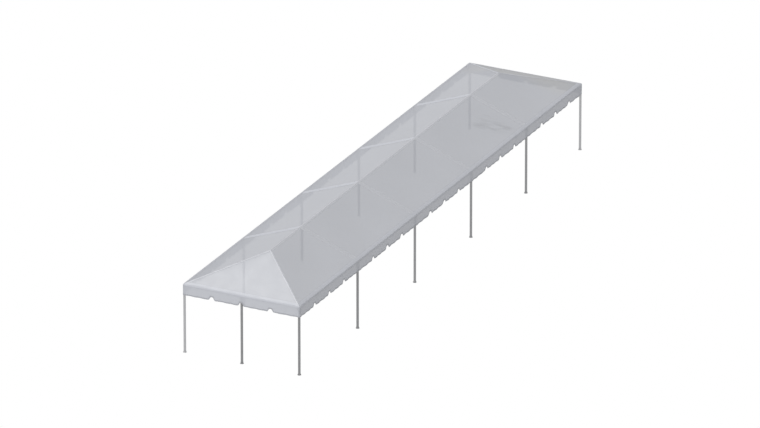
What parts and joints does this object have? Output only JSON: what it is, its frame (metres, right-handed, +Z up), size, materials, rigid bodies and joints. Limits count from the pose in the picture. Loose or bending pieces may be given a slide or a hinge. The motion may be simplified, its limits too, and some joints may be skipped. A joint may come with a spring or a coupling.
{
  "type": "marquee tent",
  "caption": "Long open-sided marquee tent: a hip-ended translucent canopy with a notched valance, on a frame of round tubes and upright legs with foot plates.",
  "frame": {"origin": "on the ground under the middle of the plan", "axes": "+X across the width, +Y along the ridge, +Z up"},
  "size_m": [4.599, 22.887, 3.4399],
  "materials": {
    "leg_metal": "satin mill finish",
    "frame_metal": "satin mill finish",
    "fitting_metal": "cast, slightly rough",
    "canopy_cloth": "translucent coated fabric with a soft sheen"
  },
  "bodies": {
    "root": {"leg_left_1": "leg_metal", "leg_left_2": "leg_metal", "leg_left_3": "leg_metal", "leg_left_4": "leg_metal", "leg_left_5": "leg_metal", "leg_left_6": "leg_metal", "leg_right_1": "leg_metal", "leg_right_2": "leg_metal", "leg_right_3": "leg_metal", "leg_right_4": "leg_metal", "leg_right_5": "leg_metal", "leg_right_6": "leg_metal", "leg_front_middle": "leg_metal", "eave_rail_left": "frame_metal", "eave_rail_right": "frame_metal", "eave_rail_front": "frame_metal", "eave_rail_back": "frame_metal", "ridge_rail": "frame_metal", "rafter_left_1": "frame_metal", "rafter_left_2": "frame_metal", "rafter_left_3": "frame_metal", "rafter_left_4": "frame_metal", "rafter_right_1": "frame_metal", "rafter_right_2": "frame_metal", "rafter_right_3": "frame_metal", "rafter_right_4": "frame_metal", "hip_rafter_front_left": "frame_metal", "hip_rafter_front_right": "frame_metal", "hip_rafter_back_left": "frame_metal", "hip_rafter_back_right": "frame_metal", "corner_fitting_front_left": "fitting_metal", "corner_fitting_front_right": "fitting_metal", "corner_fitting_back_left": "fitting_metal", "corner_fitting_back_right": "fitting_metal", "crown_fitting_front": "fitting_metal", "crown_fitting_back": "fitting_metal", "roof_panel_left": "canopy_cloth", "roof_panel_right": "canopy_cloth", "roof_hip_front": "canopy_cloth", "roof_hip_back": "canopy_cloth", "valance_left": "canopy_cloth", "valance_right": "canopy_cloth", "valance_front": "canopy_cloth", "valance_back": "canopy_cloth"}
  },
  "joints": []
}
